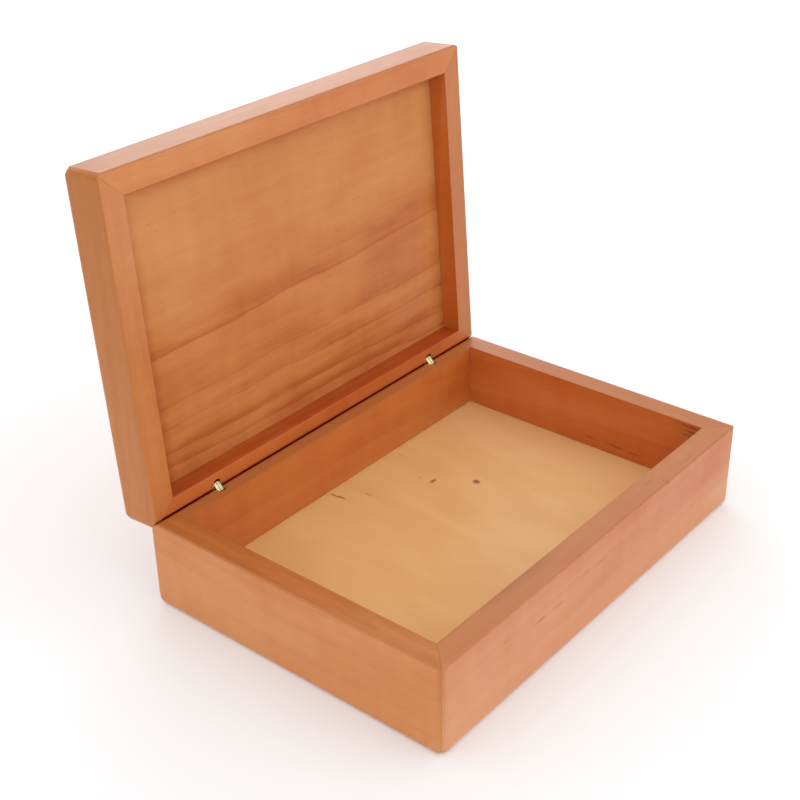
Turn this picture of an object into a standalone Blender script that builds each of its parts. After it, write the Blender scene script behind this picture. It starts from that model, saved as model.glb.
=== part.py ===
"""A hinged wooden keepsake box, standing open.

Mitred walls carry a plywood floor and a flush lid panel in grooves, and two concealed barrel hinges
join the rims. Units are metres. The origin is on the table under the hinge line, midway along the
box: +X runs along the front to the right, +Y towards the back and +Z up.

Every piece is modelled where it is with the lid shut. Two pivot empties then turn the links and the
lid to the open angle, half of it each, as the two pins of every hinge share it.
"""

from math import cos, radians, sin, sqrt

import bmesh
import bpy
from mathutils import Matrix, Vector

# Walls and rims
LENGTH = 0.300  # outside, along X
DEPTH = 0.2115  # outside, front to back
WALL = 0.0155
BASE_HEIGHT = 0.057
LID_HEIGHT = 0.0285
RIM_GAP = 0.0004  # between the two rims with the lid shut, and between their bevels with it open
LID_OPEN_ANGLE = radians(94.0)
EDGE_RADIUS = 0.004  # foot of the base and top of the lid
TIP_RADIUS = 0.0052  # ball that the corners of those two are sanded to
CORNER_RADIUS = 0.0038  # upright corners
RIM_EASE = 0.0015  # sanded outer edge of each rim
ROLL_RELIEF = 0.00035  # how far the mouth of the joint between the rims is opened
MITRE_GAP = 0.0003

# Floor and lid panel, held in grooves
GROOVE_DEPTH = 0.005
GROOVE_FIT = 0.0003  # all round the board that sits in the groove
FLOOR_THICKNESS = 0.006
FLOOR_RISE = 0.008  # table to the floor's underside
LID_RECESS = 0.013  # lid rim to the panel's inner face
TONGUE_THICKNESS = 0.005
TONGUE_SET = 0.004  # panel's inner face to its tongue
PANEL_GAP = 0.0004  # shadow line round the panel

# Barrel hinges
HINGE_SPACING = 0.201
HINGE_INSET = 0.0068  # back face to the barrels' axis
PIVOT_DEPTH = 0.002  # rim to the pin's axis
BARREL_RADIUS = 0.004
BARREL_LENGTH = 0.011
BARREL_SET = 0.0002  # barrel's end below the rim
BARREL_FIT = 0.00015  # barrel to its hole, all round
BARREL_FOOT_GAP = 0.0003
BARREL_EASE = 0.0004
PIN_RADIUS = 0.0007
PIN_CLEARANCE = 0.0001
PIN_INSET = 0.0003  # pin's end to the barrel's side
LEAF_COUNT = 3
LEAF_THICKNESS = 0.0015
LEAF_GAP = 0.00025
LEAF_INSET = 0.0011  # the leaves' round inside the barrels'
LEAF_BACK_MARGIN = 0.0009  # metal behind a pin, at the flat of a leaf
SLOT_SIDE_CLEARANCE = 0.0002
SLOT_FLOOR_CLEARANCE = 0.0003

# How finely round shapes are divided
EDGE_SEGMENTS = 4
EASE_SEGMENTS = 3
ROLL_STEPS = 3  # flats that round a rim's back edge about its pin
TIP_STEPS = 3  # flats that round a corner
BARREL_SIDES = 40
PIN_SIDES = 20

OVERCUT = 0.004  # how far a cutter or a blank reaches past what it trims

# Places that follow from the sizes, with the lid shut
BACK_Y = HINGE_INSET
FRONT_Y = BACK_Y - DEPTH
MIDDLE = Vector((0, (FRONT_Y + BACK_Y) / 2, 0))
LID_RIM = BASE_HEIGHT + RIM_GAP
LID_TOP = LID_RIM + LID_HEIGHT
INNER_HALF = Vector((LENGTH / 2 - WALL, DEPTH / 2 - WALL))
BASE_PIVOT = Vector((0, 0, BASE_HEIGHT - PIVOT_DEPTH))
LID_PIVOT = Vector((0, 0, LID_RIM + PIVOT_DEPTH))
LINK_MIDDLE = (BASE_PIVOT + LID_PIVOT) / 2
LINK_LENGTH = (LID_PIVOT - BASE_PIVOT).length
LEAF_RADIUS = BARREL_RADIUS - LEAF_INSET
LEAF_BACK = PIN_RADIUS + LEAF_BACK_MARGIN
LEAF_PITCH = LEAF_THICKNESS + LEAF_GAP
SLOT_WIDTH = LEAF_COUNT * LEAF_PITCH - LEAF_GAP + 2 * SLOT_SIDE_CLEARANCE
SLOT_DEPTH = PIVOT_DEPTH + LEAF_RADIUS + SLOT_FLOOR_CLEARANCE

OUTWARD = {
    "front": Vector((0, -1, 0)),
    "back": Vector((0, 1, 0)),
    "left": Vector((-1, 0, 0)),
    "right": Vector((1, 0, 0)),
}
HINGE_X = {"left": -HINGE_SPACING / 2, "right": HINGE_SPACING / 2}


def clear_scene():
    for obj in list(bpy.data.objects):
        bpy.data.objects.remove(obj)


def make_collection(name):
    collection = bpy.data.collections.new(name)
    bpy.context.scene.collection.children.link(collection)
    return collection


def make_material(name, colour, roughness, metallic=0.0):
    material = bpy.data.materials.new(name)
    material.use_nodes = True
    material.diffuse_color = (*colour, 1)
    shader = material.node_tree.nodes["Principled BSDF"]
    shader.inputs["Base Color"].default_value = (*colour, 1)
    shader.inputs["Roughness"].default_value = roughness
    shader.inputs["Metallic"].default_value = metallic
    return material


class Pivot:
    """An empty on a pin's axis: what hangs on it turns with it."""

    def __init__(self, name, place, angle, parent=None):
        self.place = place
        self.empty = bpy.data.objects.new(name, None)
        parts.objects.link(self.empty)
        self.empty.location = place
        if parent:
            self.empty.parent = parent.empty
            self.empty.location = place - parent.place
        self.empty.rotation_euler.x = -angle

    def carry(self, obj):
        obj.parent = self.empty
        obj.location = -self.place


def add_object(name, bm, pivot, material):
    """Turns a bmesh into a part, in the material given."""
    bmesh.ops.recalc_face_normals(bm, faces=bm.faces)
    mesh = bpy.data.meshes.new(name)
    bm.to_mesh(mesh)
    bm.free()
    mesh.materials.append(material)
    mesh.shade_smooth()
    mesh.set_sharp_from_angle(angle=radians(30))
    obj = bpy.data.objects.new(name, mesh)
    parts.objects.link(obj)
    pivot.carry(obj)
    return obj


def add_cutter(name, bm, pivot):
    bmesh.ops.recalc_face_normals(bm, faces=bm.faces)
    mesh = bpy.data.meshes.new(name)
    bm.to_mesh(mesh)
    bm.free()
    obj = bpy.data.objects.new(name, mesh)
    cutters.objects.link(obj)
    obj.hide_render = True
    obj.display_type = "WIRE"
    pivot.carry(obj)
    return obj


def combine(obj, other, operation):
    step = obj.modifiers.new(other.name, "BOOLEAN")
    step.operation = operation
    step.solver = "EXACT"
    step.object = other


def block(corner, opposite):
    """A box between two corners, given in any order."""
    low = Vector(map(min, corner, opposite))
    high = Vector(map(max, corner, opposite))
    bm = bmesh.new()
    bmesh.ops.create_cube(bm, size=1)
    bmesh.ops.scale(bm, vec=high - low, verts=bm.verts)
    bmesh.ops.translate(bm, vec=(low + high) / 2, verts=bm.verts)
    return bm


def rod(centre, axis, radius, length, sides):
    """A cylinder about its centre, along the row axis that a unit vector gives."""
    bm = bmesh.new()
    bmesh.ops.create_cone(
        bm, cap_ends=True, segments=sides, radius1=radius, radius2=radius, depth=length
    )
    turn = Vector((0, 0, 1)).rotation_difference(axis).to_matrix().to_4x4()
    bmesh.ops.transform(bm, matrix=Matrix.Translation(centre) @ turn, verts=bm.verts)
    return bm


def slice_off(bm, point, normal):
    """Cuts away what lies beyond a plane, and closes the cut."""
    everything = bm.verts[:] + bm.edges[:] + bm.faces[:]
    cut = bmesh.ops.bisect_plane(
        bm, geom=everything, plane_co=point, plane_no=normal, clear_outer=True
    )
    edges = [item for item in cut["geom_cut"] if isinstance(item, bmesh.types.BMEdge)]
    bmesh.ops.edgeloop_fill(bm, edges=edges)


def round_edges(bm, edges, radius, segments):
    bmesh.ops.bevel(
        bm,
        geom=edges,
        offset=radius,
        affect="EDGES",
        segments=segments,
        profile=0.5,
        material=-1,
        clamp_overlap=True,
    )


def edges_at(bm, axis, value):
    """Edges whose two ends both lie at this value along X, Y or Z (0, 1 or 2)."""
    near = 1e-6
    return [
        edge for edge in bm.edges if all(abs(vert.co[axis] - value) < near for vert in edge.verts)
    ]


def roll_back_edge(bm, pivot, facing, radius):
    """Rounds a rim's back edge about its pin, then bevels it down to the back face.

    With the lid fully open, this bevel faces the other rim's. Facing is 1 on the base, whose rim
    looks up, and -1 on the lid.
    """
    for step in range(1, ROLL_STEPS + 1):
        angle = LID_OPEN_ANGLE / 2 * step / ROLL_STEPS
        normal = Vector((0, sin(angle), facing * cos(angle)))
        relief = ROLL_RELIEF if step < ROLL_STEPS else 0
        slice_off(bm, pivot + normal * (radius - relief), normal)


def dub_corners(bm, far, inward):
    """Sands the four corners at the foot or the top towards a ball. Inward is 1 where they look down."""
    for outward_x in (-1, 1):
        for outward_y, face_y in ((-1, FRONT_Y), (1, BACK_Y)):
            corner = Vector((outward_x * LENGTH / 2, face_y, far))
            centre = corner - TIP_RADIUS * Vector((outward_x, outward_y, -inward))
            for step in range(TIP_STEPS):
                tilt = radians(90) * (step + 1) / (TIP_STEPS + 1)
                level = cos(tilt) / sqrt(2)
                normal = Vector((outward_x * level, outward_y * level, -inward * sin(tilt)))
                slice_off(bm, centre + normal * TIP_RADIUS, normal)


def edge_envelope(rim, far, pivot):
    """The outside of the base or the lid with its long edges rounded and its rims eased."""
    facing = 1 if rim > far else -1
    corner = Vector((-LENGTH / 2, FRONT_Y, rim))
    bm = block(corner, Vector((LENGTH / 2, BACK_Y, far)))
    round_edges(bm, edges_at(bm, 2, far), EDGE_RADIUS, EDGE_SEGMENTS)
    round_edges(bm, edges_at(bm, 2, rim), RIM_EASE, EASE_SEGMENTS)
    dub_corners(bm, far, facing)
    roll_back_edge(bm, pivot, facing, PIVOT_DEPTH)
    return bm


def corner_envelope(rim, far):
    """The outline of the box in plan, with its upright corners rounded."""
    low, high = sorted((rim, far))
    corner = Vector((-LENGTH / 2, FRONT_Y, low - OVERCUT))
    bm = block(corner, Vector((LENGTH / 2, BACK_Y, high + OVERCUT)))
    level = edges_at(bm, 2, low - OVERCUT) + edges_at(bm, 2, high + OVERCUT)
    uprights = [edge for edge in bm.edges if edge not in level]
    round_edges(bm, uprights, CORNER_RADIUS, EDGE_SEGMENTS)
    return bm


def mitred_blank(outward, rim, far):
    """A board for one side, oversize outside and mitred at both ends."""
    along = Vector((-outward.y, outward.x, 0))
    half_size = Vector((LENGTH / 2, DEPTH / 2, 0))
    to_face = abs(outward.dot(half_size))
    to_end = abs(along.dot(half_size))
    run = along * (to_end + 2 * OVERCUT)
    margin = Vector((0, 0, OVERCUT if rim > far else -OVERCUT))
    inside = MIDDLE + outward * (to_face - WALL) - run + Vector((0, 0, far)) - margin
    outside = MIDDLE + outward * (to_face + OVERCUT) + run + Vector((0, 0, rim)) + margin
    bm = block(inside, outside)
    for end in (-1, 1):
        corner = MIDDLE + outward * to_face + along * (end * to_end)
        normal = (along * end - outward).normalized()
        slice_off(bm, corner - normal * (MITRE_GAP / 2), normal)
    return bm


def add_walls(prefix, rim, far, pin_axis, groove, pivot):
    """Four mitred boards, trimmed to the outside shape and grooved for the panel that they hold."""
    outsides = (
        add_cutter(f"{prefix}_edges", edge_envelope(rim, far, pin_axis), pivot),
        add_cutter(f"{prefix}_corners", corner_envelope(rim, far), pivot),
    )
    walls = {}
    for side, outward in OUTWARD.items():
        wall = add_object(f"{prefix}_{side}_wall", mitred_blank(outward, rim, far), pivot, cherry)
        for outside in outsides:
            combine(wall, outside, "INTERSECT")
        combine(wall, groove, "DIFFERENCE")
        walls[side] = wall
    return walls


def inner_block(grow, low, high):
    """A box that fills the inside of the walls and grows this much into each of them."""
    half = Vector((INNER_HALF.x + grow, INNER_HALF.y + grow, 0))
    return block(MIDDLE - half + Vector((0, 0, low)), MIDDLE + half + Vector((0, 0, high)))


def add_groove(name, low, high, pivot):
    """The cutter for the groove round a board that lies between two heights."""
    bm = inner_block(GROOVE_DEPTH, low - GROOVE_FIT, high + GROOVE_FIT)
    return add_cutter(name, bm, pivot)


def add_floor(pivot):
    bm = inner_block(GROOVE_DEPTH - GROOVE_FIT, FLOOR_RISE, FLOOR_RISE + FLOOR_THICKNESS)
    return add_object("base_floor", bm, pivot, birch)


def add_lid_panel(tongue_low, tongue_high, pivot):
    """A tongue all round, with the panel's body raised from both of its faces."""
    tongue = GROOVE_DEPTH - GROOVE_FIT
    bm = inner_block(tongue, tongue_low, tongue_high)
    by_height = sorted(bm.faces, key=lambda face: face.calc_center_median().z)
    below, above = by_height[0], by_height[-1]
    for face, rise in ((below, -TONGUE_SET), (above, LID_TOP - tongue_high)):
        bmesh.ops.inset_region(bm, faces=[face], thickness=tongue + PANEL_GAP, use_even_offset=True)
        raised = bmesh.ops.extrude_face_region(bm, geom=[face])["geom"]
        bmesh.ops.delete(bm, geom=[face], context="FACES_ONLY")
        corners = [item for item in raised if isinstance(item, bmesh.types.BMVert)]
        bmesh.ops.translate(bm, vec=(0, 0, rise), verts=corners)
    return add_object("lid_panel", bm, pivot, cherry)


def add_barrel(name, x, rim, facing, pin_axis, pivot):
    end = rim - facing * BARREL_SET
    centre = Vector((x, 0, end - facing * BARREL_LENGTH / 2))
    bm = rod(centre, Vector((0, 0, 1)), BARREL_RADIUS, BARREL_LENGTH, BARREL_SIDES)
    foot = edges_at(bm, 2, end - facing * BARREL_LENGTH)
    round_edges(bm, foot, BARREL_EASE, EASE_SEGMENTS)
    roll_back_edge(bm, pin_axis, facing, PIVOT_DEPTH - BARREL_SET)
    barrel = add_object(name, bm, pivot, brass)
    reach = BARREL_RADIUS + OVERCUT
    corner = Vector((x - SLOT_WIDTH / 2, -reach, rim + facing * OVERCUT))
    opposite = Vector((x + SLOT_WIDTH / 2, reach, rim - facing * SLOT_DEPTH))
    combine(barrel, add_cutter(f"{name}_slot", block(corner, opposite), pivot), "DIFFERENCE")
    return barrel


def add_barrel_hole(name, x, rim, facing, pivot):
    depth = BARREL_SET + BARREL_LENGTH + BARREL_FOOT_GAP
    length = depth + OVERCUT
    centre = Vector((x, 0, rim + facing * (OVERCUT - length / 2)))
    radius = BARREL_RADIUS + BARREL_FIT
    return add_cutter(name, rod(centre, Vector((0, 0, 1)), radius, length, BARREL_SIDES), pivot)


def add_pin(name, x, pin_axis, pivot):
    length = 2 * (BARREL_RADIUS - PIN_INSET)
    centre = pin_axis + Vector((x, 0, 0))
    bm = rod(centre, Vector((1, 0, 0)), PIN_RADIUS, length, PIN_SIDES)
    return add_object(name, bm, pivot, steel)


def add_pin_hole(name, x, pin_axis, pivot):
    length = 2 * (BARREL_RADIUS + OVERCUT)
    centre = pin_axis + Vector((x, 0, 0))
    radius = PIN_RADIUS + PIN_CLEARANCE
    return add_cutter(name, rod(centre, Vector((1, 0, 0)), radius, length, PIN_SIDES), pivot)


def add_leaf(name, hinge_x, place, pivot):
    """A leaf cut oversize, with its flat at the back. Place counts from the left of the pack."""
    offset = (place - (LEAF_COUNT - 1) / 2) * LEAF_PITCH
    centre = LINK_MIDDLE + Vector((hinge_x + offset, 0, 0))
    half = LEAF_THICKNESS / 2
    reach = LINK_LENGTH / 2 + LEAF_RADIUS + OVERCUT
    bm = block(centre + Vector((-half, -reach, -reach)), centre + Vector((half, LEAF_BACK, reach)))
    return add_object(name, bm, pivot, brass)


def add_knuckle(name, x, pivot):
    """The round that a pack of leaves is turned to: a ball about each pin, with a straight side between."""
    bm = bmesh.new()
    for pin_axis in (BASE_PIVOT, LID_PIVOT):
        place = Matrix.Translation(pin_axis + Vector((x, 0, 0)))
        bmesh.ops.create_uvsphere(
            bm, u_segments=BARREL_SIDES, v_segments=BARREL_SIDES // 2, radius=LEAF_RADIUS, matrix=place
        )
    bmesh.ops.delete(bm, geom=bm.edges[:] + bm.faces[:], context="EDGES_FACES")
    hull = bmesh.ops.convex_hull(bm, input=bm.verts)
    inside = [item for item in hull["geom_interior"] if isinstance(item, bmesh.types.BMVert)]
    bmesh.ops.delete(bm, geom=inside, context="VERTS")
    return add_cutter(name, bm, pivot)


def add_hinge(side, base_wall, lid_wall):
    """One barrel hinge: two slotted barrels in the rims, a pack of leaves and two pins."""
    x = HINGE_X[side]
    leaves = [
        add_leaf(f"{side}_hinge_leaf_{place + 1}", x, place, links) for place in range(LEAF_COUNT)
    ]
    knuckle = add_knuckle(f"{side}_hinge_knuckle", x, links)
    for leaf in leaves:
        combine(leaf, knuckle, "INTERSECT")
    ends = (
        ("base", BASE_HEIGHT, 1, BASE_PIVOT, base, base_wall),
        ("lid", LID_RIM, -1, LID_PIVOT, lid, lid_wall),
    )
    for half, rim, facing, pin_axis, pivot, wall in ends:
        name = f"{side}_hinge_{half}"
        combine(wall, add_barrel_hole(f"{name}_bore", x, rim, facing, pivot), "DIFFERENCE")
        barrel = add_barrel(f"{name}_barrel", x, rim, facing, pin_axis, pivot)
        pin_hole = add_pin_hole(f"{name}_pin_hole", x, pin_axis, pivot)
        for bored in (barrel, *leaves):
            combine(bored, pin_hole, "DIFFERENCE")
        add_pin(f"{name}_pin", x, pin_axis, pivot)


clear_scene()
parts = make_collection("keepsake_box")
cutters = make_collection("cutters")

cherry = make_material("cherry", (0.55, 0.235, 0.092), 0.42)
birch = make_material("birch_ply", (0.66, 0.39, 0.15), 0.5)
brass = make_material("brass", (0.80, 0.58, 0.22), 0.22, 1.0)
steel = make_material("pin_steel", (0.60, 0.58, 0.55), 0.3, 1.0)

base = Pivot("base_frame", Vector((0, 0, 0)), 0)
links = Pivot("base_pin_axis", BASE_PIVOT, LID_OPEN_ANGLE / 2)
lid = Pivot("lid_pin_axis", LID_PIVOT, LID_OPEN_ANGLE / 2, parent=links)

floor_groove = add_groove("floor_groove", FLOOR_RISE, FLOOR_RISE + FLOOR_THICKNESS, base)
base_walls = add_walls("base", BASE_HEIGHT, 0, BASE_PIVOT, floor_groove, base)
add_floor(base)

tongue_low = LID_RIM + LID_RECESS + TONGUE_SET
tongue_high = tongue_low + TONGUE_THICKNESS
panel_groove = add_groove("panel_groove", tongue_low, tongue_high, lid)
lid_walls = add_walls("lid", LID_RIM, LID_TOP, LID_PIVOT, panel_groove, lid)
add_lid_panel(tongue_low, tongue_high, lid)

for hinge_side in HINGE_X:
    add_hinge(hinge_side, base_walls["back"], lid_walls["back"])
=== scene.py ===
# %% [markdown]
# # Dressing a hinged keepsake box
# The box is a mitred cherry tray with a plywood floor, under a shallow cherry lid that stands open on
# two concealed brass hinges. The solids already have the right sizes and places, so this lesson loads
# them as a fixed frame, eases their edges, and spends its effort on wood, brass and light.

from math import cos, radians, sin

import bmesh
import bpy
from mathutils import Matrix, Vector


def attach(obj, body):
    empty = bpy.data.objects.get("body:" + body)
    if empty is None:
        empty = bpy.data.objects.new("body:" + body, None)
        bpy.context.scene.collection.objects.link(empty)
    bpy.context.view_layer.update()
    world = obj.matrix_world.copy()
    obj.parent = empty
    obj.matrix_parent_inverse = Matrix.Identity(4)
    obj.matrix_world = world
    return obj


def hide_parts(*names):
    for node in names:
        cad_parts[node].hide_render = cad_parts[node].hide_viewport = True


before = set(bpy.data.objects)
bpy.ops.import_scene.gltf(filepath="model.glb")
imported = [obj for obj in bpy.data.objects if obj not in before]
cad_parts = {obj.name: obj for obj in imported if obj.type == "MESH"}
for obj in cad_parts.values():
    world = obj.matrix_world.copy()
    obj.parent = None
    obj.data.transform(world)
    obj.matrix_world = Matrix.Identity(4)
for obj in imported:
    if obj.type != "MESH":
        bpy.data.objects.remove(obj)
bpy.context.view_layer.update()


# %% [markdown]
# ## The view
# The photograph looks down on the box from its front left corner with a moderately long lens. A camera
# in Blender is placed by its location and three turns. These were found by matching the corners of the
# box, and there is no shift and no depth of field, so every other view stays sharp and centred.

# %% Camera
CAMERA_PLACE = (-0.57741, -0.53695, 0.51303)
CAMERA_TURN_DEGREES = (60.670, 0.836, -50.674)
LENS_MM = 64.28
SENSOR_MM = 36.0

camera_data = bpy.data.cameras.new("camera")
camera_data.lens = LENS_MM
camera_data.sensor_width = SENSOR_MM
camera = bpy.data.objects.new("camera", camera_data)
camera.location = CAMERA_PLACE
camera.rotation_euler = [radians(angle) for angle in CAMERA_TURN_DEGREES]
bpy.context.scene.collection.objects.link(camera)
bpy.context.scene.camera = camera
bpy.context.scene.view_settings.view_transform = "Standard"
print("camera:", LENS_MM, "mm lens")

# %% [markdown]
# ## A short way to write materials
# Wood needs a few dozen nodes, and making each by hand hides the idea behind the bookkeeping. This
# small class does the bookkeeping: it adds a node, and feeds its inputs. A value that is a socket gets
# linked, and any other value is set on the input.


# %% Nodes of a material
class MaterialNodes:
    """A material with its node tree, and its shader to finish with."""

    def __init__(self, name):
        self.material = bpy.data.materials.new(name)
        self.material.use_nodes = True
        self.tree = self.material.node_tree
        self.shader = self.tree.nodes["Principled BSDF"]

    def feed(self, socket, value):
        if isinstance(value, bpy.types.NodeSocket):
            self.tree.links.new(value, socket)
        else:
            socket.default_value = value

    def add(self, kind, inputs, **settings):
        node = self.tree.nodes.new("ShaderNode" + kind)
        for setting, value in settings.items():
            setattr(node, setting, value)
        for socket, value in inputs.items():
            self.feed(node.inputs[socket], value)
        return node

    def finish(self, **inputs):
        """Sets the shader's own inputs, with underscores for the spaces in their names."""
        for name, value in inputs.items():
            self.feed(self.shader.inputs[name.replace("_", " ")], value)
        return self.material


print("node calls:", [name for name in vars(MaterialNodes) if not name.startswith("_")])

# %% [markdown]
# ## Steps of a recipe
# A natural finish is uneven at every scale, so most steps of its recipe are noises: stretched along the
# grain, bent a little, sharpened into spots, and added up around a middle level. A node group could
# hold each step, but a short call keeps the whole recipe in view as one list.


# %% Recipe steps
class Recipe(MaterialNodes):
    """The steps that wood, brass and steel are made of, with one short call for each."""

    def math(self, operation, first, second=0.0, third=0.0):
        return self.add("Math", {0: first, 1: second, 2: third}, operation=operation).outputs[0]

    def vector(self, operation, first, second):
        return self.add("VectorMath", {0: first, 1: second}, operation=operation).outputs[0]

    def length(self, vector):
        return self.add("VectorMath", {0: vector}, operation="LENGTH").outputs["Value"]

    def from_line(self, place, point):
        """How far a place is from the line through a point that runs in X."""
        offset = self.vector("SUBTRACT", place, point)
        return self.length(self.vector("MULTIPLY", offset, (0.0, 1.0, 1.0)))

    def slope(self, place, rise):
        """A number that grows by so much over a metre along each axis."""
        return self.add("VectorMath", {0: place, 1: rise}, operation="DOT_PRODUCT").outputs["Value"]

    def noise(self, place, grains, detail=2.0, roughness=0.5, output="Fac"):
        """Noise with so many grains a metre along each axis."""
        inputs = {"Vector": self.vector("MULTIPLY", place, grains), "Scale": 1.0}
        inputs.update({"Detail": detail, "Roughness": roughness})
        return self.add("TexNoise", inputs).outputs[output]

    def sway(self, place, grains, reach):
        """The place, moved about by a soft noise."""
        wander = self.noise(place, grains, detail=1.0, output="Color")
        shift = self.vector("SUBTRACT", wander, (0.5, 0.5, 0.5))
        return self.vector("ADD", place, self.vector("MULTIPLY", shift, reach))

    def ease(self, value, low, high, start=0.0, end=1.0):
        """A smooth step from start to end as the value goes from low to high."""
        inputs = {"Value": value, "From Min": low, "From Max": high, "To Min": start, "To Max": end}
        return self.add("MapRange", inputs, interpolation_type="SMOOTHSTEP").outputs["Result"]

    def around(self, level, *swings):
        """A level, with pairs of a noise and its weight that swing about it."""
        result = level
        for noise, weight in swings:
            middle = self.math("SUBTRACT", noise, 0.5)
            result = self.math("MULTIPLY_ADD", middle, weight, result)
        return result

    def ramp(self, value, stops):
        """A colour for each value, from pairs of a position and a colour."""
        stops = list(stops)
        node = self.add("ValToRGB", {"Fac": value})
        elements = node.color_ramp.elements
        while len(elements) < len(stops):
            elements.new(1.0)
        for element, (position, colour) in zip(elements, stops):
            element.position = position
            element.color = (*colour, 1.0)
        return node.outputs["Color"]

    def tint(self, share, colour, other):
        """Goes from a colour towards another. A Mix node has its colours in sockets 6 and 7."""
        inputs = {0: share, 6: colour, 7: (*other, 1.0)}
        return self.add("Mix", inputs, data_type="RGBA").outputs[2]

    def bump(self, height, strength, depth):
        inputs = {"Height": height, "Strength": strength, "Distance": depth}
        return self.add("Bump", inputs).outputs["Normal"]


print("recipe steps:", [name for name in vars(Recipe) if not name.startswith("_")])

# %% [markdown]
# ## Room and light
# The photograph is a product shot: white surroundings, a white table and light from all sides. Many
# lamps could build that, but the world alone gives almost all of it, at the level where a colour shows
# as it is written. The camera and reflections see pure white, whatever lights the box.

# %% World
WORLD_STRENGTH = 1.0
WHITE = (1.0, 1.0, 1.0, 1.0)


def seen_directly(nodes, links):
    """1 for rays from the camera, a reflection or a clear piece, and 0 for light on a surface."""
    path = nodes.new("ShaderNodeLightPath")
    found = path.outputs["Is Camera Ray"]
    for kind in ("Is Glossy Ray", "Is Transmission Ray"):
        either = nodes.new("ShaderNodeMath")
        either.operation = "MAXIMUM"
        links.new(found, either.inputs[0])
        links.new(path.outputs[kind], either.inputs[1])
        found = either.outputs[0]
    return found


world = bpy.data.worlds.new("white_room")
bpy.context.scene.world = world
world.use_nodes = True
world_nodes = world.node_tree.nodes
world_links = world.node_tree.links
ambient = world_nodes["Background"]
ambient.inputs["Color"].default_value = WHITE
ambient.inputs["Strength"].default_value = WORLD_STRENGTH
backdrop = world_nodes.new("ShaderNodeBackground")
backdrop.inputs["Color"].default_value = WHITE
world_mix = world_nodes.new("ShaderNodeMixShader")
world_links.new(seen_directly(world_nodes, world_links), world_mix.inputs["Fac"])
world_links.new(ambient.outputs[0], world_mix.inputs[1])
world_links.new(backdrop.outputs[0], world_mix.inputs[2])
world_links.new(world_mix.outputs[0], world_nodes["World Output"].inputs["Surface"])
print("world strength:", WORLD_STRENGTH)

# %% [markdown]
# ## Table
# The box stands on a white sheet that runs out to the horizon and keeps only a soft shadow. A table of
# plain white paint would look grey beside the white room, so it glows a little, but only for the rays that
# see it directly.

# %% Table
TABLE_HALF = 6.0
TABLE_COLOUR = (0.895, 0.900, 0.910, 1.0)
TABLE_ROUGHNESS = 0.8
TABLE_GLOW = 0.10

table_bm = bmesh.new()
bmesh.ops.create_grid(table_bm, x_segments=1, y_segments=1, size=TABLE_HALF)
table_mesh = bpy.data.meshes.new("table")
table_bm.to_mesh(table_mesh)
table_bm.free()
table = bpy.data.objects.new("table", table_mesh)
bpy.context.scene.collection.objects.link(table)

table_white = Recipe("table_white")
direct = seen_directly(table_white.tree.nodes, table_white.tree.links)
glow = table_white.math("MULTIPLY", direct, TABLE_GLOW)
table_white.finish(Base_Color=TABLE_COLOUR, Roughness=TABLE_ROUGHNESS)
table_white.finish(Emission_Color=WHITE, Emission_Strength=glow)
table_mesh.materials.append(table_white.material)
print("table:", 2 * TABLE_HALF, "m across")

# %% [markdown]
# ## Soft boxes
# Even light leaves every side alike. Two weak area lamps give it a direction: one low at the front
# right, and one behind that puts a sheen on the lid's upper edge. A sun lamp would do that too, but with
# hard shadows that a product shot doesn't have.

# %% Soft boxes
BOX_CENTRE = Vector((0.0, -0.09, 0.08))


def soft_box(name, azimuth, elevation, distance, size, watts):
    """A square area lamp that faces the box. Azimuth is counted from the front, positive to the right."""
    lamp = bpy.data.lights.new(name, "AREA")
    lamp.size = size
    lamp.energy = watts
    flat = cos(radians(elevation))
    toward = Vector((sin(radians(azimuth)) * flat, -cos(radians(azimuth)) * flat, sin(radians(elevation))))
    obj = bpy.data.objects.new(name, lamp)
    obj.location = BOX_CENTRE + toward * distance
    obj.rotation_euler = toward.to_track_quat("Z", "Y").to_euler()
    bpy.context.scene.collection.objects.link(obj)
    return obj


key_box = soft_box("key_box", azimuth=25, elevation=14, distance=1.7, size=1.2, watts=3.6)
back_box = soft_box("back_box", azimuth=138, elevation=20, distance=1.5, size=0.8, watts=2.8)
print("soft boxes:", key_box.data.energy, "and", back_box.data.energy, "W")

# %% [markdown]
# ## Grain and rings
# Every board is cut from a log, so one idea covers them all: rings round a pith line, and fibres along
# it. Each board gets its own turn and pith, as if sawn from another place. A picture of wood could be
# laid on the boards, but a log in three dimensions also fits round their edges and ends. The Mapping
# node moves the box's own coordinates into the log's, with X along the grain.

# %% Grain and rings
RING_WANDER = 0.022  # the span over which a ring strays from a true circle
SEASON_GRAINS = 22.0  # how often good years and lean years take turns, over a metre
SEASON_SHIFT = 1.8  # how many rings they push the count by
SUMMER_START = 0.15  # the share of a year's growth where its summer wood starts, and where it ends
SUMMER_END = 0.93


def grain_space(recipe, middle, turn_degrees):
    """Object coordinates, turned so that X runs along the grain."""
    place = recipe.add("TexCoord", {}).outputs["Object"]
    inputs = {"Vector": place, "Location": middle, "Rotation": [radians(angle) for angle in turn_degrees]}
    return recipe.add("Mapping", inputs, vector_type="TEXTURE").outputs["Vector"]


def wood_grains(along, across):
    """So many grains a metre along the fibres, and so many across them."""
    return (along, across, across)


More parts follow.
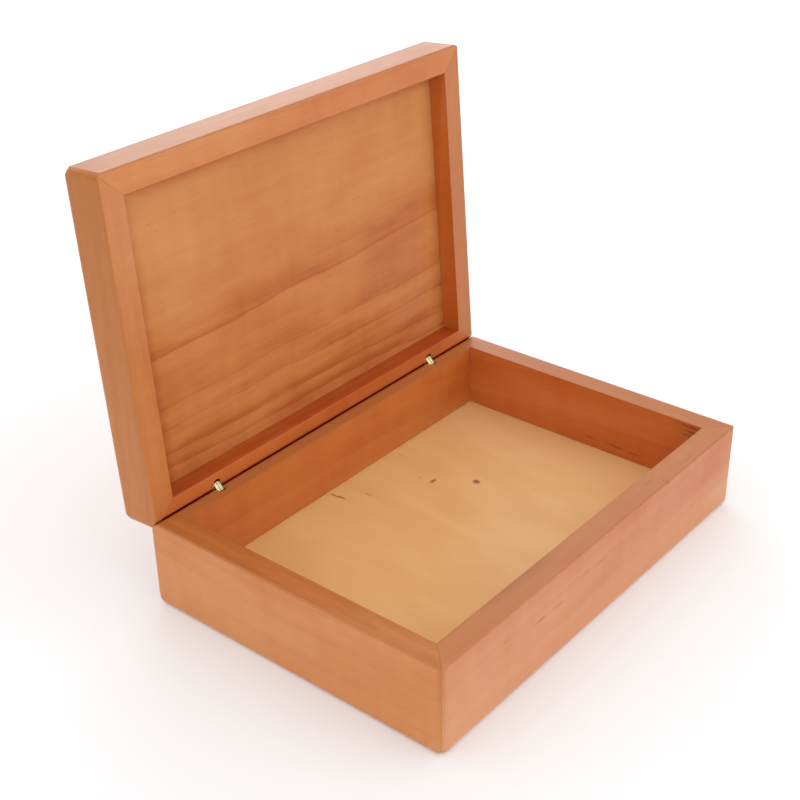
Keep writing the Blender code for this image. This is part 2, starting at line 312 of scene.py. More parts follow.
def rings_about(pith, width):
    """Makes a recipe step: dark summer wood that builds up over each ring and ends sharply."""

    def step(recipe, place):
        reach = (0.0, RING_WANDER, RING_WANDER)
        bent = recipe.sway(place, wood_grains(along=4.0, across=14.0), reach)
        radius = recipe.from_line(bent, (0.0, *pith))
        inputs = {"W": radius, "Scale": SEASON_GRAINS}
        season = recipe.add("TexNoise", inputs, noise_dimensions="1D").outputs["Fac"]
        years = recipe.math("DIVIDE", radius, width)
        count = recipe.math("MULTIPLY_ADD", season, SEASON_SHIFT, years)
        within = recipe.math("FRACT", count)
        rise = recipe.ease(within, SUMMER_START, SUMMER_END)
        return recipe.math("MULTIPLY", rise, recipe.ease(within, SUMMER_END, 1.0, start=1.0, end=0.0))

    return step


print("summer wood fills", SUMMER_START, "to", SUMMER_END, "of each ring")

# %% [markdown]
# ## Marks
# Some boards carry a few dark streaks, knots and cracks. They could be painted on a texture by hand.
# Here each is a small soft ball in the log's coordinates: a centre, three half sizes and a strength. A
# noise shakes its outline and speckles its core, so that it looks grown and not drawn.

# %% Marks
MARK_INNER = 0.2  # a mark keeps its full strength to this share of its size
HALO_FULL = 0.6  # strengths from 0 to this fade the stain in, up to its share
HALO_SHARE = 0.75
CORE_START = 0.35  # strengths between these two fade in the core
CORE_FULL = 0.8


def marks_on_side(depth, reach, rows):
    """Marks on an upright side. A row is a place along and up it, two half sizes and a strength."""
    return [
        ((along, depth, up), (half_length, reach, half_height), strength)
        for along, up, half_length, half_height, strength in rows
    ]


def marks_on_top(level, reach, rows):
    """Marks on a face that lies flat, with the same rows, but for a place across it and not up it."""
    return [
        ((along, across, level), (half_length, half_width, reach), strength)
        for along, across, half_length, half_width, strength in rows
    ]


def stain(recipe, place, colour, marks, halo, core):
    """Adds marks to a colour, as a halo with a speckled core."""
    shaken = recipe.sway(place, wood_grains(along=300.0, across=700.0), reach=(0.0016, 0.0003, 0.0003))
    mask = 0.0
    for centre, half, strength in marks:
        offset = recipe.vector("DIVIDE", recipe.vector("SUBTRACT", shaken, centre), half)
        mark = recipe.ease(recipe.length(offset), MARK_INNER, 1.0, start=strength, end=0.0)
        mask = recipe.math("MAXIMUM", mask, mark)
    speckle = recipe.noise(place, wood_grains(along=700.0, across=1100.0))
    speckle = recipe.ease(speckle, 0.42, 0.54, start=0.1, end=1.0)
    halo_share = recipe.ease(mask, 0.0, HALO_FULL, start=0.0, end=HALO_SHARE)
    core_share = recipe.math("MULTIPLY", recipe.ease(mask, CORE_START, CORE_FULL), speckle)
    return recipe.tint(core_share, recipe.tint(halo_share, colour, halo), core)


print("marks: halo up to", HALO_SHARE, "of the colour")

# %% [markdown]
# ## Handling and painted shade
# A board isn't the same all over: some faces took the finish darker, some are darkened with painted shade,
# the outer rounds are rubbed a little paler, and painted shade darkens the joint between the two back
# rims. A noise alone doesn't know where the edges are, so each board's mesh will carry three attributes,
# for the darker faces, the wear and the painted shade, and the finish reads them here.

# %% Handling and painted shade
WORN_CHERRY = (0.700, 0.330, 0.120)
# painted shade: the dark red of the shadow in the joint between the back rims and along the rims' edges
PAINTED_SHADE = (0.280, 0.006, 0.002)
BROWN_AND_SHADE_SHARE = 0.7  # how far a flagged face goes towards its darker colour, the worn colour and the painted shade
WORN_SHARE = 0.1
PAINTED_SHADE_SHARE = 0.85


def flagged(recipe, flag, share, rest=0.0):
    """A share of the number that a piece gives its faces for this flag, on top of a rest."""
    amount = recipe.add("Attribute", {}, attribute_name=flag).outputs["Fac"]
    return recipe.math("MULTIPLY_ADD", amount, share, rest)


def handled_and_shaded(recipe, place, colour, streak, browned, shade_drift):
    """Darkens a colour with brown tones and painted shade, rubs it paler, and paints shade into the joint
    and along the rims, more in some patches and streaks than in others.
    """
    patchy = recipe.ease(recipe.noise(place, wood_grains(along=45.0, across=240.0)), 0.38, 0.62)
    # the drift along the grain paints the shade deeper towards one end of a board
    brown_and_shade_share = recipe.around(recipe.slope(place, (shade_drift, 0, 0)), (patchy, 0.2), (streak, 0.9))
    brown_and_shade_share = recipe.math("ADD", brown_and_shade_share, BROWN_AND_SHADE_SHARE)
    worn_share = recipe.math("MULTIPLY", patchy, WORN_SHARE)
    grime_share = recipe.around(PAINTED_SHADE_SHARE, (patchy, 0.1))
    # the darker faces: a browned tone on rims, and painted shade on two faces of the lid
    colour = recipe.tint(flagged(recipe, "browned", brown_and_shade_share), colour, browned)
    colour = recipe.tint(flagged(recipe, "wear", worn_share), colour, WORN_CHERRY)
    # painted shade in the joint between the back rims and along the rims
    return recipe.tint(flagged(recipe, "grime", grime_share), colour, PAINTED_SHADE)


# the shares of the darker faces, the wear and the painted shade
print("handling: browned", BROWN_AND_SHADE_SHARE, "worn", WORN_SHARE, "grime", PAINTED_SHADE_SHARE)

# %% [markdown]
# ## Cherry
# Cherry is fine and even, with soft clouds, a faint curl across the grain and short dark flecks, under a
# satin lacquer. Mixing a colour for each of these would be hard to balance. Here one number, the depth,
# adds them all up, and a colour ramp turns it into three tones, so every board has the same recipe with
# its own tones, level and drift.

# %% Cherry finish
CHERRY = ((0.680, 0.270, 0.082), (0.600, 0.186, 0.038), (0.460, 0.090, 0.010))  # pale, middle, deep
TONE_STOPS = (0.1, 0.5, 1.0)  # the depth at which each of the three tones is pure
BROWNED_CHERRY = (0.460, 0.155, 0.037)
CHERRY_STAIN = (0.330, 0.100, 0.022)
CHERRY_MARK = (0.165, 0.038, 0.006)
CHERRY_ROUGHNESS = 0.40
WALL_SHINE = 0.5
PORE_DIP = -0.8  # how a fleck or pore lies in the relief, where a fibre stands up by 1
FIBRE_DEPTH = 0.0002


def cherry(
    name, middle, turn_degrees, rings, ring_depth, level, drift=(0, 0, 0),
    tones=CHERRY, browned=BROWNED_CHERRY, shade_drift=0.0, fleck_depth=0.25, marks=(), shine=None,
):
    """Cherry with X along the grain. Level is its depth of tone, 0 to 1, which drifts over the board."""
    recipe = Recipe(name)
    place = grain_space(recipe, middle, turn_degrees)
    late = rings(recipe, place)
    fibre = recipe.noise(place, wood_grains(along=16.0, across=1400.0), detail=3.0, roughness=0.6)
    streak = recipe.noise(place, wood_grains(along=4.0, across=170.0))
    cloud = recipe.noise(place, wood_grains(along=13.0, across=24.0))
    curl = recipe.noise(place, wood_grains(along=100.0, across=22.0), detail=1.0)
    fleck = recipe.ease(recipe.noise(place, wood_grains(along=60.0, across=1000.0)), 0.60, 0.76)
    depth = recipe.around(level, (streak, 0.24), (fibre, 0.26), (cloud, 0.65), (curl, 0.22))
    depth = recipe.math("ADD", depth, recipe.slope(place, drift))
    depth = recipe.math("MULTIPLY_ADD", late, ring_depth, depth)
    colour = recipe.ramp(depth, zip(TONE_STOPS, tones))
    colour = recipe.tint(recipe.math("MULTIPLY", fleck, fleck_depth), colour, tones[-1])
    colour = handled_and_shaded(recipe, place, colour, streak, browned, shade_drift)
    if marks:
        colour = stain(recipe, place, colour, marks, CHERRY_STAIN, CHERRY_MARK)
    if shine is None:  # a wall, whose shine drops where shade is painted on it
        shine = flagged(recipe, "grime", -WALL_SHINE, WALL_SHINE)
    roughness = recipe.around(CHERRY_ROUGHNESS, (fibre, 0.14), (cloud, 0.10))
    height = recipe.math("MULTIPLY_ADD", fleck, PORE_DIP, fibre)
    normal = recipe.bump(height, strength=0.12, depth=FIBRE_DEPTH)
    return recipe.finish(Base_Color=colour, Roughness=roughness, Specular_IOR_Level=shine, Normal=normal)


print("cherry tones:", CHERRY)

# %% [markdown]
# ## Birch plywood
# The floor is a sheet with a peeled face. Peeling runs round the log, so the rings show as wide, soft
# flames and not as lines, with short pores along the grain. The rings of a log could be cut that way in
# the coordinates, but folding one slow noise back and forth gives the same flames for less. Painted light
# makes the sheet paler towards its right edge, against the shade of the right wall.

# %% Birch finish
BIRCH = ((0.900, 0.570, 0.255), (0.820, 0.470, 0.175), (0.680, 0.345, 0.105))  # pale, middle, deep
BIRCH_STAIN = (0.340, 0.120, 0.018)
BIRCH_MARK = (0.190, 0.042, 0.003)
BIRCH_LEVEL = 0.45
BIRCH_ROUGHNESS = 0.46
FLAME_FOLDS = 7.0
PORE_SHARE = 0.18
PAINTED_LIGHT_FROM = 0.060  # painted light: how far right of its middle the sheet starts to pale, where that ends, and by what
PAINTED_LIGHT_TO = 0.134
PAINTED_LIGHT_BY = 0.34


def birch(name, middle, turn_degrees, marks):
    """Peeled birch with X along the grain."""
    recipe = Recipe(name)
    place = grain_space(recipe, middle, turn_degrees)
    swell = recipe.noise(place, wood_grains(along=7.0, across=20.0), roughness=0.55)
    folded = recipe.math("PINGPONG", recipe.math("MULTIPLY", swell, FLAME_FOLDS), 1.0)
    flame = recipe.ease(folded, 0.0, 1.0)
    cloud = recipe.noise(place, wood_grains(along=10.0, across=12.0), detail=1.0)
    fibre = recipe.noise(place, wood_grains(along=22.0, across=1200.0), detail=3.0, roughness=0.6)
    pore = recipe.ease(recipe.noise(place, wood_grains(along=240.0, across=2200.0)), 0.62, 0.75)
    to_right = recipe.slope(place, (0, -1, 0))
    # painted light: the sheet gets paler near the right wall, against the shade that the wall casts
    painted_light = recipe.ease(to_right, PAINTED_LIGHT_FROM, PAINTED_LIGHT_TO, start=0.0, end=PAINTED_LIGHT_BY)
    depth = recipe.around(BIRCH_LEVEL, (flame, 0.16), (cloud, 0.5), (fibre, 0.34))
    depth = recipe.math("SUBTRACT", depth, painted_light)
    colour = recipe.ramp(depth, zip(TONE_STOPS, BIRCH))
    colour = recipe.tint(recipe.math("MULTIPLY", pore, PORE_SHARE), colour, BIRCH[-1])
    colour = stain(recipe, place, colour, marks, BIRCH_STAIN, BIRCH_MARK)
    roughness = recipe.around(BIRCH_ROUGHNESS, (fibre, 0.14))
    height = recipe.math("MULTIPLY_ADD", pore, PORE_DIP, fibre)
    normal = recipe.bump(height, strength=0.1, depth=FIBRE_DEPTH)
    return recipe.finish(Base_Color=colour, Roughness=roughness, Normal=normal)


print("birch tones:", BIRCH)

# %% [markdown]
# ## Metal
# The hinges are turned brass on steel pins. Turning and drawing leave fine lines, so a stretched noise
# breaks up the polish. The barrels are dull. The leaves are rubbed bright where they show between the
# rims, and go dull inside the barrels with tarnish and painted shade: their distance from the hinge's
# middle line gives that.

# %% Brass and steel finish
BRASS_PALE = (0.97, 0.88, 0.62)
BRASS_WARM = (0.80, 0.61, 0.27)
BRASS_DULL = (0.60, 0.44, 0.16)
STEEL_PALE = (0.68, 0.66, 0.63)
STEEL_GREY = (0.50, 0.49, 0.47)
HINGE_MIDDLE = (0.0, 0.0016, 0.0565)  # midway between a hinge's two pins, with the lid open
TARNISH_AND_SHADE = 0.85  # how dull the leaves get inside the barrels, with tarnish and painted shade


def metal(name, stops, roughness, grains, metallic=1.0, rubbed=0.0):
    """Turned or drawn metal. If only its middle is rubbed bright, rubbed is how far that reaches; beyond
    it, tarnish and painted shade dull it.
    """
    recipe = Recipe(name)
    place = recipe.add("TexCoord", {}).outputs["Object"]
    turning = recipe.noise(place, grains, detail=3.0, roughness=0.6)
    colour = recipe.ramp(turning, stops)
    if rubbed:
        away = recipe.from_line(place, HINGE_MIDDLE)
        # tarnish and painted shade, deeper away from the hinge's middle line, inside the barrels
        tarnish_and_shade = recipe.ease(away, rubbed, 2 * rubbed, start=0.0, end=TARNISH_AND_SHADE)
        colour = recipe.tint(tarnish_and_shade, colour, BRASS_DULL)
    uneven = recipe.around(roughness, (turning, 0.12))
    normal = recipe.bump(turning, strength=0.08, depth=0.00005)
    return recipe.finish(Base_Color=colour, Metallic=metallic, Roughness=uneven, Normal=normal)


brass = metal(
    "turned_brass", stops=((0.25, BRASS_DULL), (0.75, BRASS_WARM)), roughness=0.30,
    grains=(700.0, 700.0, 4200.0), metallic=0.7,
)
leaf_brass = metal(
    "rubbed_brass_with_shade", stops=((0.25, BRASS_WARM), (0.60, BRASS_PALE)), roughness=0.18,
    grains=(900.0, 900.0, 900.0), rubbed=0.0022,
)
steel = metal(
    "drawn_steel", stops=((0.25, STEEL_GREY), (0.75, STEEL_PALE)), roughness=0.32,
    grains=(400.0, 5200.0, 5200.0),
)
print("metals:", brass.name, leaf_brass.name, steel.name)

# %% [markdown]
# ## Copying a solid
# A board could be modelled again from a cube, but its solid already has the mitres, the hinge bores and
# the rolled back edge. So each piece starts as a copy of its solid, with its loose triangles merged and
# joined into flat faces. It is easier to work on a lid that lies square, so a copy is first turned back
# to where it is with the lid shut: the open lid's angle is shared by the two pins of each hinge.

# %% Copying a solid
LID_OPEN_DEGREES = 94.0
BASE_PIN = Vector((0, 0, 0.055))
LID_PIN_SHUT = Vector((0, 0, 0.0594))
MERGE_GAP = 1e-6
FLAT_DEGREES = 0.3

half_turn = Matrix.Rotation(-radians(LID_OPEN_DEGREES / 2), 4, "X")
link_turn = Matrix.Translation(BASE_PIN) @ half_turn @ Matrix.Translation(-BASE_PIN)
lid_turn = link_turn @ Matrix.Translation(LID_PIN_SHUT) @ half_turn @ Matrix.Translation(-LID_PIN_SHUT)
FROM_SHUT = {"base": Matrix.Identity(4), "links": link_turn, "lid": lid_turn}


def merged_copy(node, body):
    """The node's solid as clean faces, moved to where it is with the lid shut."""
    bm = bmesh.new()
    bm.from_mesh(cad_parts[node].data)
    bmesh.ops.remove_doubles(bm, verts=bm.verts, dist=MERGE_GAP)
    bmesh.ops.dissolve_limit(bm, angle_limit=radians(FLAT_DEGREES), verts=bm.verts, edges=bm.edges)
    bmesh.ops.transform(bm, matrix=FROM_SHUT[body].inverted(), verts=bm.verts)
    return bm


print("lid stands at", LID_OPEN_DEGREES, "degrees")

# %% [markdown]
# ## Finishing a piece
# Sanded rounds look smooth, and a mitre or a square edge looks crisp. Splitting the mesh at its crisp
# edges would do that, but leaves it open, so the edges are flagged instead, and a Weighted Normal
# modifier keeps the flat faces flat beside the rounds. Then the piece goes back to its place, and rides
# on its body in the stead of its solid.

# %% Finishing a piece
CREASE_DEGREES = 50.0
MITRE_TOLERANCE = 0.01


def is_mitre(face):
    """True for the upright faces that are cut at 45 degrees."""
    x, y, z = [abs(part) for part in face.normal]
    return abs(x - y) < MITRE_TOLERANCE and z < MITRE_TOLERANCE


def flag_creases(bm):
    """Shades the rounds smoothly, and keeps joints and square edges crisp."""
    bm.normal_update()
    for face in bm.faces:
        face.smooth = True
    for edge in bm.edges:
        crisp = len(edge.link_faces) != 2 or edge.calc_face_angle() > radians(CREASE_DEGREES)
        edge.smooth = not crisp and not any(is_mitre(face) for face in edge.link_faces)


def finish_piece(name, bm, body, material, node):
    """Puts the piece back at its place, shades it and lets it ride in the node's stead."""
    flag_creases(bm)
    bmesh.ops.transform(bm, matrix=FROM_SHUT[body], verts=bm.verts)
    mesh = bpy.data.meshes.new(name)
    bm.to_mesh(mesh)
    bm.free()
    mesh.materials.append(material)
    piece = bpy.data.objects.new(name, mesh)
    bpy.context.scene.collection.objects.link(piece)
    piece.modifiers.new("flat_faces", "WEIGHTED_NORMAL").keep_sharp = True
    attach(piece, body)
    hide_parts(node)
    print(piece.name, len(mesh.polygons), "faces")
    return piece


print("edges stay crisp above", CREASE_DEGREES, "degrees")

# %% [markdown]
# ## Dressing a wall
# On the real box the mitres are fine lines, and the inner edge of each rim is eased, as sandpaper leaves
# it. The solids stand a little apart and have square inner rims. So both ends of a board grow by a hair,
# and a bevel of a few steps rounds the rim's inner edge. A Bevel modifier could do that too, but it
# would also round the edges that stay crisp.

# %% Dressing a wall
MITRE_CLOSE = 0.000155  # how far each end grows along its board, which leaves a hair of the joint
RIM_EASE = 0.0004
ROUND_STEPS = 3
CLOSE = 2e-5  # points this near to an edge are on it
INNER_SIDE = {  # the axis across each board, and which end of it looks inwards: 0 the low, 1 the high
    "front": (1, 1),
    "back": (1, 0),
    "left": (0, 1),
    "right": (0, 0),
}


def corners(bm):
    """The lowest and highest corner of what is modelled so far."""
    low = Vector([min(vert.co[axis] for vert in bm.verts) for axis in range(3)])
    high = Vector([max(vert.co[axis] for vert in bm.verts) for axis in range(3)])
    return low, high


def close_mitres(bm, along):
    """Grows both ends of a board by a hair. Along is 0 for boards that run in X, and 1 in Y."""
    low, high = corners(bm)
    middle = (low[along] + high[along]) / 2
    ends = set()
    for face in bm.faces:
        if is_mitre(face):
            ends.update(face.verts)
    for vert in ends:
        vert.co[along] += MITRE_CLOSE if vert.co[along] > middle else -MITRE_CLOSE


def round_edges(bm, edges, width):
    """Bevels edges into a round that is so wide on either side."""
    bmesh.ops.bevel(
        bm, geom=edges, offset=width, segments=ROUND_STEPS, profile=0.5, affect="EDGES", material=-1
    )


def ease_inner_rim(bm, half, side):
    """Rounds the edge between a rim and the inside of the box."""
    low, high = corners(bm)
    rim = high.z if half == "base" else low.z
    axis, end = INNER_SIDE[side]
    inner = (low, high)[end][axis]

    def is_on_edge(vert):
        return abs(vert.co.z - rim) < CLOSE and abs(vert.co[axis] - inner) < CLOSE

    edges = [edge for edge in bm.edges if all(is_on_edge(vert) for vert in edge.verts)]
    round_edges(bm, edges, RIM_EASE)


# %% [markdown]
# ## Flags on faces
# A finish can't tell a rim from a side, so the mesh has to say. Painting weights by hand would take long
# and be lost when a size changes. A face's own direction and width say as much: a narrow face is part
# of a round, and a face that looks up belongs to the rim. A flag on corners can fade over a round, and
# a flag on faces has a sharp end.

# %% Flags on faces
ROUND_WIDTH = 0.0022  # narrower faces are part of a rounded edge, where the finish wears
FACING_LOW = 0.2  # a face that looks a given way by less than this looks another way
FACING_FLAT = 0.95  # and by more than this, it is the flat side that looks that way


def is_round(face):
    """True for a narrow face. A strip's width is about twice its area over its perimeter."""
    return 2 * face.calc_area() / face.calc_perimeter() < ROUND_WIDTH


def flag_faces(bm, flag, amount):
    """Gives each face a number from 0 to 1 that the finish reads."""
    layer = bm.faces.layers.float.new(flag)
    for face in bm.faces:
        face[layer] = amount(face)


def facing_share(vert, way):
    """For a point on a round: from 1 beside a flat side that looks this way, to 0 beside any other."""
    faces = [face for face in vert.link_faces if not is_mitre(face)]
    if any(face.normal.dot(way) < FACING_LOW and not is_round(face) for face in faces):
        return 0.0
    nearest = max(face.normal.dot(way) for face in faces)
    return max(0.0, (nearest - FACING_LOW) / (1 - FACING_LOW))


def flag_facing(bm, flag, way):
    """Flags the flat side that looks this way, fading over the rounds beside it."""
    layer = bm.loops.layers.float.new(flag)
    for face in bm.faces:
        flat_share = 1.0 if face.normal.dot(way) > FACING_FLAT else 0.0
        for loop in face.loops:
            loop[layer] = facing_share(loop.vert, way) if is_round(face) else flat_share


# %% [markdown]
# ## Where a wall is handled and shaded
# The rims of the base and of the lid's right board took the finish darker, and so did the outer side of
# the lid's front board. The inner side of the lid's back board and the outer side of its left board are
# darkened with painted shade. The outer rounds are rubbed. Painted shade fills the mouth of the joint
# between the two back rims, and a little of it lies along the rims' inner edges and on the outer round of
# the front. Short rules on a face's direction find all of these, so the same code dresses all eight
# boards.

# %% Where a wall is handled and shaded
UP = Vector((0, 0, 1))
BROWNED_AND_SHADED_WAY = {  # which way the darker face of a lid board looks with the lid shut; on the back and left boards it is painted shade
    "lid_front": Vector((0, -1, 0)),
    "lid_back": Vector((0, -1, 0)),
    "lid_left": Vector((-1, 0, 0)),
    "lid_right": Vector((0, 0, -1)),
}
RIM_SLOPE = 0.2  # faces that look further than this towards the rim can hold painted shade
JOINT_SLOPE = 0.45  # and on the back boards, further back than this, they are the joint's mouth
LINE_SLOPE = 0.5  # and on the front board's outer round, further up than this, they hold a little
# how much painted shade lies along the rims' inner rounds, and on the front's outer round
INNER_PAINTED_SHADE = 0.34
OUTER_PAINTED_SHADE = 0.08


def inward_tilt(face, side):
    """How far a face looks into the box, from -1 to 1."""
    axis, end = INNER_SIDE[side]
    return face.normal[axis] if end else -face.normal[axis]


def grime_on(face, half, side):
    """Painted shade: full in the mouth of the joint between the back rims, and a little along the edges of
    the rims.
    """
    rim_tilt = face.normal.z if half == "base" else -face.normal.z
    if rim_tilt < RIM_SLOPE:
        return 0.0
    if side == "back" and face.normal.y > JOINT_SLOPE:
        return 1.0
    if not is_round(face):
        return 0.0
    if inward_tilt(face, side) > RIM_SLOPE:
        return INNER_PAINTED_SHADE
    on_front_line = (half, side) == ("base", "front") and face.normal.z > LINE_SLOPE
    return OUTER_PAINTED_SHADE if on_front_line else 0.0


def wear_on(face, half, side):
    """Full on the rounds along the outside that have no painted shade."""
    is_outside = is_round(face) and inward_tilt(face, side) < 0
    return 1.0 if is_outside and not grime_on(face, half, side) else 0.0


def dress_wall(half, side, material):
    """Makes a board of the base or the lid: tight mitres, an eased rim and its flags for the finish."""
    node = f"{half}_{side}_wall"
    bm = merged_copy(node, half)
    bm.normal_update()
    close_mitres(bm, along=0 if side in ("front", "back") else 1)
    ease_inner_rim(bm, half, side)
    bm.normal_update()
    # the darker faces: a browned tone on the rims, and painted shade on the lid back's inner side and the
    # lid left's outer side
    flag_facing(bm, "browned", BROWNED_AND_SHADED_WAY.get(f"{half}_{side}", UP))
    flag_faces(bm, "wear", lambda face: wear_on(face, half, side))
    # flags the faces that get painted shade
    flag_faces(bm, "grime", lambda face: grime_on(face, half, side))
    return finish_piece(f"{half}_{side}_board", bm, half, material, node)


# the share of painted shade along the inner rims
print("grime along the inner rims:", INNER_PAINTED_SHADE)

# %% [markdown]
# ## Base front board
# The front board is the pinkest: its paler, pinker tones are a painted sheen, the reflection of the bright
# table in its face. It deepens towards its rim. It has a few short streaks on its side, a small crack in
# its edge and a browned patch on the left half of its rim. Streaks could come from a noise, but then never
# at the right places, so these are set one by one.

# %% Base front board
# paler, pinker tones than the other boards: a painted sheen, the reflection of the bright table in the
# front's face
PAINTED_SHEEN_CHERRY = ((0.720, 0.320, 0.150), (0.655, 0.262, 0.108), (0.540, 0.150, 0.040))
FRONT_RIM_BROWN = (0.492, 0.170, 0.044)
FRONT_RIM_LEVEL = 0.0270  # the rim's height above the board's middle
front_streaks = (
    (-0.0640, 0.0060, 0.0100, 0.0013, 0.46),
    (-0.0480, 0.0055, 0.0100, 0.0011, 0.40),
    (-0.0045, 0.0105, 0.0090, 0.0013, 0.40),
    (-0.0200, 0.0118, 0.0050, 0.0010, 0.36),
    (-0.0960, 0.0112, 0.0022, 0.0010, 0.40),
)
front_crack = (0.0670, 0.0262, 0.0022, 0.0020, 0.55)
rim_patch = (-0.0660, 0.0090, 0.0560, 0.014, 0.36)
rim_streaks = (
    (0.0592, 0.0016, 0.0110, 0.0016, 0.34),
    (0.0967, -0.0037, 0.0080, 0.0013, 0.30),
)
front_marks = [
    *marks_on_side(depth=-0.0077, reach=0.004, rows=front_streaks),
    *marks_on_side(depth=-0.0060, reach=0.004, rows=[front_crack]),
    *marks_on_top(level=FRONT_RIM_LEVEL, reach=0.006, rows=[rim_patch]),
    *marks_on_top(level=FRONT_RIM_LEVEL, reach=0.003, rows=rim_streaks),
]
base_front_cherry = cherry(
    "cherry_base_front", middle=(0, -0.197, 0.03), turn_degrees=(0, 0, 0),
    rings=rings_about(pith=(0.10, 0.05), width=0.012), ring_depth=0.08,
    level=0.53, drift=(0.5, 0, 9.0), tones=PAINTED_SHEEN_CHERRY, browned=FRONT_RIM_BROWN, marks=front_marks,
)
dress_wall("base", "front", base_front_cherry)

# %% [markdown]
# ## Base back and left boards
# These two are plain, and deepen towards the rim. The left one is the paler, and its browned rim gets
# darker from front to back, with painted shade where the open lid shades it. A second material for the rim
# could do that, but with a hard line between the two, so the brown and the painted shade drift along the
# one board instead.

# %% Base back and left boards
# the left rim's brown, which the drift along it deepens into painted shade towards the open lid
LEFT_RIM_BROWN_AND_SHADE = (0.455, 0.131, 0.025)
base_back_cherry = cherry(
    "cherry_base_back", middle=(0, 0, 0.03), turn_degrees=(0, 0.8, 0),
    rings=rings_about(pith=(-0.07, 0.03), width=0.012), ring_depth=0.10,
    level=0.52, drift=(-0.7, 0, 4.5),
)
base_left_cherry = cherry(
    "cherry_base_left", middle=(-0.14, -0.1, 0.03), turn_degrees=(0, 1.0, 90),
    rings=rings_about(pith=(0.05, 0.06), width=0.014), ring_depth=0.08,
    level=0.19, drift=(0, 0, 4.5), browned=LEFT_RIM_BROWN_AND_SHADE, shade_drift=1.9,
)
dress_wall("base", "back", base_back_cherry)
dress_wall("base", "left", base_left_cherry)

# %% [markdown]
# ## Base right board
# The right board shows its inner side, painted redder and darker as shade: the deep red of wood lit only
# by light bounced inside the box. It has a row of dark streaks low down and a cluster of them under the
# rim near the front corner. They are set on that side as the front board's are, and reach a little way
# into the wood, as real ones do.

# %% Base right board
# redder, darker tones: painted shade, the colour of wood lit only by light bounced inside the box; also on
# the lid's back and right boards
SHADED_RED_CHERRY = ((0.660, 0.220, 0.055), (0.580, 0.150, 0.025), (0.450, 0.075, 0.008))
right_streaks = (
    (-0.0090, -0.0092, 0.0065, 0.0012, 0.52),
    (-0.0290, -0.0092, 0.0110, 0.0015, 0.58),
    (-0.0430, -0.0098, 0.0090, 0.0014, 0.50),
    (-0.0830, 0.0248, 0.0190, 0.0020, 0.60),
    (-0.0870, 0.0212, 0.0150, 0.0022, 0.62),
    (-0.0800, 0.0182, 0.0090, 0.0016, 0.54),
    (-0.0880, 0.0150, 0.0100, 0.0026, 0.56),
)
base_right_cherry = cherry(
    "cherry_base_right", middle=(0.14, -0.1, 0.03), turn_degrees=(0, 0, 90),
    rings=rings_about(pith=(0.08, -0.04), width=0.012), ring_depth=0.14,
    level=0.36, drift=(-1.2, 0, 2.5), tones=SHADED_RED_CHERRY,
    marks=marks_on_side(depth=0.0055, reach=0.006, rows=right_streaks),
)
dress_wall("base", "right", base_right_cherry)

# %% [markdown]
# ## Lid boards
# The lid stands open, so the grain of its left and right boards is turned to run up. The back and right
# boards have the redder tones of painted shade, and the inner side of the back board is painted darkest of
# all, as the shade in the lid's recess. The left board's outer side is darkened with painted shade, more
# so towards its upper end, where less light reaches it. Each board is another cut of the same recipe,
# which keeps them alike without any two being the same.

# %% Lid boards
# painted shade for the back board's inner side, which lies in the lid's recess
LID_BACK_INNER_SHADE = (0.395, 0.058, 0.004)
LID_LEFT_CHERRY = ((0.645, 0.270, 0.092), (0.566, 0.186, 0.046), (0.430, 0.090, 0.014))
# painted shade for the left board's outer side, deeper towards its upper end
LID_LEFT_SHADE = (0.470, 0.138, 0.008)
lid_front_cherry = cherry(
    "cherry_lid_front", middle=(0, 0.03, 0.25), turn_degrees=(0, 1.0, 0),
    rings=rings_about(pith=(0.05, 0.08), width=0.012), ring_depth=0.10, level=0.42,
)
lid_back_cherry = cherry(
    "cherry_lid_back", middle=(0, 0.02, 0.06), turn_degrees=(0, -0.6, 0),
    rings=rings_about(pith=(-0.08, 0.05), width=0.012), ring_depth=0.12, level=0.50,
    tones=SHADED_RED_CHERRY, browned=LID_BACK_INNER_SHADE, shade_drift=-0.8,
)
lid_left_cherry = cherry(
    "cherry_lid_left", middle=(-0.14, 0.02, 0.16), turn_degrees=(0, 91, 0),
    rings=rings_about(pith=(0.06, 0.07), width=0.014), ring_depth=0.08, level=0.42,
    tones=LID_LEFT_CHERRY, browned=LID_LEFT_SHADE, shade_drift=-4.0,
)
lid_right_cherry = cherry(
    "cherry_lid_right", middle=(0.14, 0.02, 0.16), turn_degrees=(0, 89, 0),
    rings=rings_about(pith=(0.07, -0.05), width=0.012), ring_depth=0.12, level=0.38,
    tones=SHADED_RED_CHERRY,
)
dress_wall("lid", "front", lid_front_cherry)
dress_wall("lid", "back", lid_back_cherry)
dress_wall("lid", "left", lid_left_cherry)
dress_wall("lid", "right", lid_right_cherry)

# %% [markdown]
# ## Bands of the lid panel
# The panel is one flat-sawn board. Its upper part is plain, and five summer bands cross the rest, each
# with a soft top and a sharper lower edge, on a tone that deepens downwards. General rings would put
# them anywhere, so a colour ramp sets them one by one, at their distance from the lid's front board. A
# slant that grows with that distance fans them out from left to right.

# %% Panel bands
PANEL_LENGTH = 0.269
PANEL_DEPTH = 0.1805
PLAIN_END = 0.076
PLAIN_TONE = 0.20
PANEL_BANDS = (  # start, end, tone at the end and tone below the band
    (0.0760, 0.0992, 0.70, 0.38),
    (0.1200, 0.1335, 0.54, 0.36),
    (0.1400, 0.1480, 0.60, 0.40),
    (0.1560, 0.1645, 0.76, 0.48),
    (0.1690, 0.1740, 0.76, 0.50),
)
BAND_LINE = 0.0012  # the width of the dark line that ends each band
LINE_TONE = 0.18  # how much deeper that line is
BAND_FADE = 0.0006  # over this length a band goes back to the tone below it
FAN_START = -0.0327  # how much lower a band's right end is than its left, at the top of the panel
FAN_GROWTH = 0.227  # how much that grows over a metre downwards


